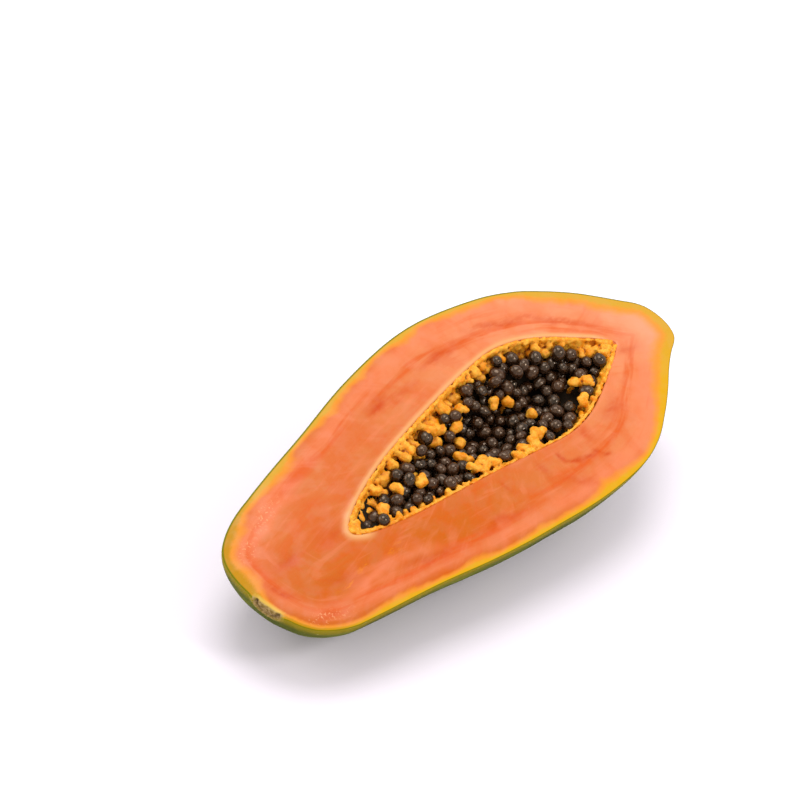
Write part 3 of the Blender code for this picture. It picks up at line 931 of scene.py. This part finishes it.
def make_placenta(draw, lumps):
    lining = make_lining()
    model = lump_model()
    pieces = [lining]
    for x, y, z, size in lumps:
        turn = Euler([draw.uniform(0, math.tau) for _ in range(3)]).to_matrix().to_4x4()
        pieces.append(copy_to(model, Matrix.Translation((x, y, z)) @ turn @ Matrix.Scale(size, 4)))
    bpy.data.objects.remove(model)
    placenta = join(pieces)
    apply_modifier(placenta, "REMESH", mode="VOXEL", voxel_size=PULP_VOXEL * MM)
    apply_modifier(placenta, "SMOOTH", factor=0.5, iterations=3)
    points = coordinates(placenta)
    normals = np.zeros(len(points) * 3)
    placenta.data.vertices.foreach_get("normal", normals)
    normals = normals.reshape(-1, 3)
    (coarse, coarse_height), (fine, fine_height) = COARSE_GRAINS, FINE_GRAINS
    grains = np.array(
        [cloud(p / MM, coarse) * coarse_height + cloud(p / MM, fine, 5.0) * fine_height for p in points]
    )
    drop = (points - np.array(POSE.translation)) @ np.array(POSE.to_3x3())[:, 2] / MM
    grains *= rise(drop, *GRAINS_FADE)
    points += normals * grains[:, None] * MM
    placenta.data.vertices.foreach_set("co", points.ravel())
    # The creases' depth, which the placenta's material turns into painted shade
    mark(placenta, "crease", creases(placenta, points, normals))
    apply_modifier(placenta, "DECIMATE", ratio=PULP_KEPT)
    select(placenta)
    bpy.ops.object.shade_smooth()
    return placenta


# Materials
STEM_FLESH = screen(190, 92, 12)
BLOSSOM_FLESH = screen(230, 144, 100)
PINK_FLESH = screen(226, 126, 86)
RED_FLESH = screen(206, 80, 14)
DARK_FLESH = screen(190, 62, 8)
# Colour of the painted highlights on wet spots of the flesh
GLINT_FLESH = screen(240, 176, 124)
PALE_FLESH = screen(230, 152, 116)
RIM_OLIVE = screen(182, 128, 8)
RIM_GOLD = screen(202, 152, 46)
FRONT_GOLD = screen(208, 154, 18)
UNDER_GOLD = screen(222, 138, 40)
EDGE_GREEN = screen(104, 108, 6)
PALE_LIP = screen(226, 166, 106)
FLECK_GOLD = screen(224, 128, 8)
SKIN_DARK = screen(52, 62, 4)
SKIN_GREEN = screen(86, 95, 8)
SKIN_LIGHT = screen(116, 121, 14)
SKIN_YELLOW = screen(154, 133, 5)
SKIN_SPECK = screen(190, 178, 112)
WOOD_DARK = screen(70, 50, 18)
WOOD_BROWN = screen(116, 92, 40)
WOOD_TAN = screen(168, 140, 92)
SCAR_CREAM = screen(214, 180, 84)
# Painted shade of the pulp, in its creases and deep in the cavity
PULP_PAINTED_SHADE = screen(132, 48, 2)
PULP_ORANGE = screen(228, 136, 12)
PULP_LIGHT = screen(240, 172, 56)
# Painted shade of the deeper seeds, blacker than the seeds on top
BED_SHADE_BLACK = screen(8, 5, 4)
SEED_BLACK = screen(16, 9, 5)
SEED_BROWN = screen(54, 29, 14)
SEED_COAT = screen(118, 84, 56)
SKIN_ROUGHNESS = (0.6, 0.6, 0.6, 1.0)
SEED_GLOSS_TINT = (1.0, 0.72, 0.48, 1.0)
SUBSURFACE_RADIUS = (1.0, 0.45, 0.15)
SUBSURFACE_SCALE = 1.5


class Tree:
    """Adds nodes to a material or a group. A value that is a socket is linked, any other is set."""

    def __init__(self, tree):
        self.tree = tree

    def add(self, kind, inputs=None, output=0, **settings):
        node = self.tree.nodes.new(kind)
        for setting, value in settings.items():
            setattr(node, setting, value)
        for key, value in (inputs or {}).items():
            if isinstance(value, bpy.types.NodeSocket):
                self.tree.links.new(value, node.inputs[key])
            else:
                node.inputs[key].default_value = value
        return node.outputs[output]

    def math(self, operation, a, b=0.0):
        return self.add("ShaderNodeMath", {0: a, 1: b}, operation=operation)

    def times(self, a, b):
        return self.math("MULTIPLY", a, b)

    def plus(self, a, b):
        return self.math("ADD", a, b)

    def span(self, value, low, high, start=0.0, end=1.0):
        """A smooth step from start to end, while value goes from low to high."""
        inputs = {"Value": value, "From Min": low, "From Max": high, "To Min": start, "To Max": end}
        return self.add("ShaderNodeMapRange", inputs, interpolation_type="SMOOTHSTEP")

    def band(self, value, low, middle, high):
        """1 at the middle value, and 0 below low and above high."""
        return self.times(self.span(value, low, middle), self.span(value, middle, high, 1.0, 0.0))

    def mix(self, share, a, b):
        """Colour a where share is 0, and colour b where it is 1."""
        return self.add("ShaderNodeMix", {0: share, 6: a, 7: b}, 2, data_type="RGBA")

    def attribute(self, name, output="Fac"):
        settings = {"attribute_name": name, "attribute_type": "GEOMETRY"}
        return self.add("ShaderNodeAttribute", output=output, **settings)

    def stretched(self, vector, factors):
        return self.add("ShaderNodeVectorMath", {0: vector, 1: factors}, operation="MULTIPLY")

    def noise(self, vector, scale, detail=3.0, roughness=0.5, distortion=0.0):
        inputs = {
            "Vector": vector,
            "Scale": scale,
            "Detail": detail,
            "Roughness": roughness,
            "Distortion": distortion,
        }
        return self.add("ShaderNodeTexNoise", inputs)

    def group(self, group, inputs=None):
        return self.add("ShaderNodeGroup", inputs, node_tree=group)

    def bump(self, height, distance, strength):
        inputs = {"Height": height, "Distance": distance * MM, "Strength": strength}
        return self.add("ShaderNodeBump", inputs)


def new_group(name, inputs, outputs):
    tree = bpy.data.node_groups.new(name, "ShaderNodeTree")
    for socket, kind in inputs:
        tree.interface.new_socket(socket, in_out="INPUT", socket_type=kind)
    for socket, kind in outputs:
        tree.interface.new_socket(socket, in_out="OUTPUT", socket_type=kind)
    return tree, tree.nodes.new("NodeGroupInput").outputs, tree.nodes.new("NodeGroupOutput").inputs


def face_place_group():
    """The place in the frame of the cut face, in mm."""
    tree, _, result = new_group("face_place", [], [("Place", "NodeSocketVector")])
    t = Tree(tree)
    inverse = POSE.inverted()
    there = t.add("ShaderNodeTexCoord", output="Object")
    place_mm = t.add(
        "ShaderNodeMapping",
        {
            "Vector": there,
            "Location": inverse.translation / MM,
            "Rotation": inverse.to_euler(),
            "Scale": (1 / MM, 1 / MM, 1 / MM),
        },
    )
    tree.links.new(place_mm, result["Place"])
    return tree


def speckle_group():
    """Small round spots scattered over a surface, each of its own size."""
    tree, given, result = new_group(
        "speckle",
        [("Place", "NodeSocketVector"), ("Scale", "NodeSocketFloat"), ("Size", "NodeSocketFloat")],
        [("Spots", "NodeSocketFloat")],
    )
    t = Tree(tree)
    cells = t.add("ShaderNodeTexVoronoi", {"Vector": given["Place"], "Scale": given["Scale"]})
    own = t.add("ShaderNodeSeparateColor", {0: cells.node.outputs["Color"]})
    limit = t.plus(t.times(own, given["Size"]), 0.0001)
    spots = t.math("SUBTRACT", 1.0, t.math("DIVIDE", cells, limit))
    tree.links.new(t.span(spots, 0.0, 0.5), result["Spots"])
    return tree


def new_material(name, roughness, specular, coat_roughness=0.1, subsurface=0.0):
    material = bpy.data.materials.new(name)
    material.use_nodes = True
    shader = material.node_tree.nodes["Principled BSDF"]
    shader.inputs["Roughness"].default_value = roughness
    shader.inputs["Specular IOR Level"].default_value = specular
    shader.inputs["Coat Roughness"].default_value = coat_roughness
    shader.inputs["Subsurface Weight"].default_value = subsurface
    shader.inputs["Subsurface Radius"].default_value = SUBSURFACE_RADIUS
    shader.inputs["Subsurface Scale"].default_value = SUBSURFACE_SCALE * MM
    return material, Tree(material.node_tree), shader


def feed(tree, socket, shader, name):
    tree.tree.links.new(socket, shader.inputs[name])


def skin_colour(t, where, speckle):
    """Green mottled skin, yellower near the cut, with pale specks."""
    x = t.add("ShaderNodeSeparateXYZ", {0: where})
    z = x.node.outputs["Z"]
    broad = t.noise(t.stretched(where, (0.35, 1.0, 1.0)), 0.06, 3.0, 0.55)
    fine = t.noise(where, 0.45, 4.0, 0.6)
    colour = t.mix(t.span(broad, 0.32, 0.60, 0.25, 1.0), SKIN_DARK, SKIN_GREEN)
    colour = t.mix(t.span(broad, 0.52, 0.74, 0.0, 0.75), colour, SKIN_LIGHT)
    colour = t.mix(t.span(fine, 0.42, 0.75, 0.0, 0.35), colour, SKIN_DARK)
    ragged = t.plus(z, t.span(fine, 0.3, 0.7, -1.0, 1.0))
    colour = t.mix(t.span(ragged, -9.0, -0.5, 0.0, 0.8), colour, SKIN_YELLOW)
    pale = t.group(speckle, {"Place": where, "Scale": 0.16, "Size": 0.13})
    small = t.group(speckle, {"Place": where, "Scale": 0.40, "Size": 0.20})
    colour = t.mix(t.times(pale, 0.5), colour, SKIN_SPECK)
    return t.mix(t.times(small, 0.22), colour, SKIN_SPECK)


def flesh_colour(t, where, depth):
    """Orange flesh, redder in a band within it, pinker outside the band and golden under the skin."""
    grain = t.attribute("grain", "Vector")
    x = t.add("ShaderNodeSeparateXYZ", {0: where})
    y = x.node.outputs["Y"]
    streaks = t.noise(t.stretched(grain, (0.030, 0.030, 0.34)), 1.0, 4.0, 0.55, 0.3)
    broad = t.noise(where, 0.050, 3.0, 0.5)
    fine = t.noise(t.stretched(where, (0.4, 1.0, 1.0)), 0.45, 4.0, 0.6)
    fibres = t.noise(t.stretched(grain, (0.085, 0.085, 0.055)), 1.0, 4.0, 0.55, 0.8)
    # Paler towards the back edge and towards the blossom end
    paler_to_back_and_tip = t.plus(t.span(y, -32.0, 34.0, 0.0, 0.3), t.span(x, -60.0, 125.0, 0.0, 0.7))
    colour = t.mix(paler_to_back_and_tip, STEM_FLESH, BLOSSOM_FLESH)
    colour = t.mix(t.span(broad, 0.40, 0.62, 0.0, 0.32), colour, RED_FLESH)
    colour = t.mix(t.times(t.band(depth, 3.0, 8.0, 17.0), 0.50), colour, PINK_FLESH)
    line = t.math("SUBTRACT", depth, t.span(x, -90.0, 90.0, 10.5, 21.0))
    red = t.times(t.band(line, -4.5, 0.0, 5.5), t.span(streaks, 0.38, 0.62, 0.1, 0.75))
    colour = t.mix(red, colour, RED_FLESH)
    colour = t.mix(t.span(streaks, 0.52, 0.72, 0.0, 0.30), colour, RED_FLESH)
    colour = t.mix(t.span(streaks, 0.46, 0.30, 0.0, 0.25), colour, PINK_FLESH)
    colour = t.mix(t.span(fibres, 0.50, 0.68, 0.0, 0.22), colour, RED_FLESH)
    colour = t.mix(t.span(fibres, 0.50, 0.32, 0.0, 0.25), colour, PINK_FLESH)
    colour = t.mix(t.times(t.attribute("pink"), 0.85), colour, PINK_FLESH)
    colour = t.mix(t.times(t.attribute("dark"), t.span(fine, 0.3, 0.6, 0.45, 0.9)), colour, DARK_FLESH)
    colour = t.mix(t.times(t.attribute("fleck"), t.span(fine, 0.52, 0.66, 0.0, 0.7)), colour, FLECK_GOLD)
    # Painted highlights: pale glints within the glint patches
    grit = t.noise(where, 0.9, 2.0, 0.5, 0.6)
    colour = t.mix(t.times(t.attribute("glint"), t.span(grit, 0.57, 0.66, 0.0, 0.75)), colour, GLINT_FLESH)
    colour = t.mix(t.span(x, 100.0, 132.0, 0.0, 0.85), colour, PALE_FLESH)
    width = t.noise(t.stretched(grain, (0.03, 0.03, 0.0)), 1.0, 3.0, 0.6)
    width = t.plus(width, t.span(x, 70.0, 125.0, 0.0, 0.30))
    at_stem = t.span(x, -95.0, -132.0)
    width = t.plus(width, t.times(at_stem, t.span(y, -12.0, 8.0, -0.12, 0.28)))
    shrunk = t.math("DIVIDE", depth, t.span(width, 0.35, 0.95, 0.6, 2.4))
    shrunk = t.plus(shrunk, t.span(fine, 0.3, 0.7, -0.2, 0.2))
    colour = t.mix(t.span(shrunk, 2.7, 5.6, 0.9, 0.0), colour, UNDER_GOLD)
    gold = t.mix(t.span(y, -36.0, -8.0), FRONT_GOLD, RIM_GOLD)
    gold = t.mix(at_stem, gold, RIM_OLIVE)
    colour = t.mix(t.span(shrunk, 1.4, 3.1, 1.0, 0.0), colour, gold)
    green_edge = t.math("DIVIDE", depth, t.span(y, -20.0, 20.0, 0.5, 1.1))
    colour = t.mix(t.span(green_edge, 0.3, 1.0, 1.0, 0.0), colour, EDGE_GREEN)
    colour = t.mix(t.times(t.attribute("lip"), 0.85), colour, PALE_LIP)
    wall = t.times(t.span(x.node.outputs["Z"], -1.0, -2.0), t.span(depth, 20.0, 28.0))
    return t.mix(wall, colour, UNDER_GOLD)


def scar_colour(t, where, depth, scar, colour):
    """The stalk's scar: a tan and brown disc, a dark ring in it, and a cream band in the flesh."""
    grit = t.noise(where, 0.8, 3.0, 0.6)
    wood = t.mix(t.span(grit, 0.36, 0.62, 0.0, 0.9), WOOD_TAN, WOOD_BROWN)
    wood = t.mix(t.times(t.band(scar, 4.0, 5.6, 7.2), t.span(grit, 0.30, 0.60, 0.4, 1.0)), wood, WOOD_DARK)
    ragged = t.plus(scar, t.span(grit, 0.3, 0.7, -1.2, 1.2))
    behind = t.times(t.span(ragged, 5.0, 9.5, 0.7, 0.0), t.span(depth, 1.6, 3.4, 1.0, 0.0))
    colour = t.mix(behind, colour, SCAR_CREAM)
    woody = t.times(t.span(ragged, 6.4, 8.6, 1.0, 0.0), t.span(depth, 0.5, 1.4, 1.0, 0.0))
    return t.mix(woody, colour, wood)


def fruit_material(face_place, speckle):
    material, t, shader = new_material("papaya_flesh_and_skin", 0.36, 0.05, coat_roughness=0.28)
    where = t.group(face_place)
    depth, scar = t.attribute("depth"), t.attribute("scar")
    skin = skin_colour(t, where, speckle)
    flesh = flesh_colour(t, where, depth)
    colour = scar_colour(t, where, depth, scar, t.mix(t.span(depth, 0.02, 0.16), skin, flesh))
    feed(t, colour, shader, "Base Color")
    wet = t.noise(where, 0.12, 2.0, 0.5)
    rough = t.mix(t.span(depth, 0.05, 0.5), SKIN_ROUGHNESS, t.span(wet, 0.4, 0.6, 0.26, 0.42))
    feed(t, rough, shader, "Roughness")
    moist = t.times(t.span(depth, 0.3, 1.5), t.span(wet, 0.42, 0.62, 0.1, 0.45))
    feed(t, moist, shader, "Coat Weight")
    pores = t.times(t.noise(where, 1.5, 3.0, 0.6), 0.7)
    fibres = t.times(t.noise(t.stretched(where, (0.3, 1.0, 1.0)), 0.6, 3.0, 0.6), 0.8)
    feed(t, t.bump(t.plus(pores, fibres), 0.3, 0.5), shader, "Normal")
    return material


def placenta_material(face_place):
    material, t, shader = new_material("papaya_placenta", 0.36, 0.2, subsurface=0.25)
    where = t.group(face_place)
    z = t.add("ShaderNodeSeparateXYZ", {0: where}, 2)
    lumps = t.noise(where, 0.32, 3.0, 0.5)
    fine = t.noise(where, 1.4, 3.0, 0.6)
    colour = t.mix(t.span(lumps, 0.35, 0.65), PULP_ORANGE, PULP_LIGHT)
    colour = t.mix(t.span(fine, 0.50, 0.75, 0.0, 0.5), colour, PULP_LIGHT)
    # Painted shade: darker deeper in the cavity and down in the creases between the lumps
    colour = t.mix(t.span(z, -16.0, -5.0, 0.6, 0.0), colour, PULP_PAINTED_SHADE)
    colour = t.mix(t.span(t.attribute("crease"), 0.08, 0.42, 0.0, 0.85), colour, PULP_PAINTED_SHADE)
    feed(t, colour, shader, "Base Color")
    feed(t, t.bump(fine, 0.3, 0.6), shader, "Normal")
    return material


def seed_material():
    material, t, shader = new_material("papaya_seeds", 0.18, 0.58, coat_roughness=0.05)
    shader.inputs["Specular Tint"].default_value = SEED_GLOSS_TINT
    own = t.attribute("own", "Vector")
    wrinkles = t.noise(own, 0.55, 3.0, 0.6, 1.6)
    folds = t.math("ABSOLUTE", t.math("SUBTRACT", t.noise(own, 0.38, 2.0, 0.5, 0.8), 0.5))
    tint = t.attribute("tint")
    bed = t.span(tint, -0.2, -0.8)
    colour = t.mix(t.span(tint, 0.0, 1.0), SEED_BLACK, SEED_BROWN)
    colour = t.mix(t.span(wrinkles, 0.50, 0.75, 0.0, 0.35), colour, SEED_COAT)
    colour = t.mix(t.span(folds, 0.03, 0.0, 0.0, 0.35), colour, SEED_COAT)
    # Painted shade: the bed below the seeds is painted blacker than they are
    colour = t.mix(bed, colour, BED_SHADE_BLACK)
    feed(t, colour, shader, "Base Color")
    feed(t, t.math("MAXIMUM", bed, t.span(wrinkles, 0.4, 0.7, 0.08, 0.20)), shader, "Roughness")
    feed(t, t.times(t.math("SUBTRACT", 1.0, bed), 0.25), shader, "Coat Weight")
    feed(t, t.bump(t.plus(wrinkles, t.times(folds, 2.0)), 0.4, 0.3), shader, "Normal")
    return material


# Stage, light and camera
CAMERA_PLACE = (-0.50768, -0.18264, 0.70745)
CAMERA_RIGHT = (0.6884, -0.6716, 0.2741)
CAMERA_UP = (0.4663, 0.6991, 0.5421)
LENS = 85.0
SENSOR = 36.0
FLOOR_WIDTH = 12.0
FLOOR_WHITE = (0.94, 0.87, 0.95, 1.0)
WORLD_WHITE = (1.0, 1.0, 1.0, 1.0)
WORLD_STRENGTH = 0.81
# Soft boxes: name, place in metres, diameter in metres, power in watts
SOFT_BOXES = (
    ("key", (0.06, 0.26, 1.25), 0.8, 6.8),
    ("side", (-0.63, 0.90, 0.55), 0.8, 3.0),
    ("window", (0.23, -0.76, 0.9), 0.30, 3.2),
)


def make_camera():
    camera = bpy.data.objects.new("camera", bpy.data.cameras.new("camera"))
    bpy.context.scene.collection.objects.link(camera)
    camera.data.lens = LENS
    camera.data.sensor_width = SENSOR
    right, up = Vector(CAMERA_RIGHT), Vector(CAMERA_UP)
    axes = Matrix((right, up, right.cross(up))).transposed().to_4x4()
    camera.matrix_world = POSE @ Matrix.Translation(CAMERA_PLACE) @ axes
    camera.data.clip_start, camera.data.clip_end = 0.05, 30.0
    bpy.context.scene.camera = camera


def make_floor():
    deselect()
    bpy.ops.mesh.primitive_plane_add(size=FLOOR_WIDTH, location=(0, 0, 0))
    floor = bpy.context.object
    floor.name = "floor"
    material = bpy.data.materials.new("floor_white")
    material.use_nodes = True
    shader = material.node_tree.nodes["Principled BSDF"]
    shader.inputs["Base Color"].default_value = FLOOR_WHITE
    shader.inputs["Roughness"].default_value = 0.7
    shader.inputs["Specular IOR Level"].default_value = 0.2
    floor.data.materials.append(material)


def area_light(name, place, size, power):
    """A round soft box that faces the half."""
    light = bpy.data.objects.new(name, bpy.data.lights.new(name, "AREA"))
    bpy.context.scene.collection.objects.link(light)
    light.data.shape = "DISK"
    light.data.size = size
    light.data.energy = power
    light.location = place
    light.rotation_euler = (-Vector(place)).to_track_quat("-Z", "Y").to_euler()


def make_lights():
    world = bpy.data.worlds.new("studio")
    world.use_nodes = True
    background = world.node_tree.nodes["Background"]
    background.inputs["Color"].default_value = WORLD_WHITE
    background.inputs["Strength"].default_value = WORLD_STRENGTH
    bpy.context.scene.world = world
    for soft_box in SOFT_BOXES:
        area_light(*soft_box)


def main():
    draw = random.Random(5)
    fruit = make_fruit()
    lumps = tongues(draw) + end_lumps(draw) + strand_heads(draw)
    carpet = wall_lumps(draw)
    placenta = make_placenta(draw, lumps + carpet)
    seeds = make_seeds(draw, lumps)
    face_place, speckle = face_place_group(), speckle_group()
    finish_piece(fruit, "fruit", fruit_material(face_place, speckle))
    finish_piece(placenta, "placenta", placenta_material(face_place))
    finish_piece(seeds, "seeds", seed_material())
    make_floor()
    make_lights()
    make_camera()
    bpy.context.scene.view_settings.view_transform = "Standard"


main()
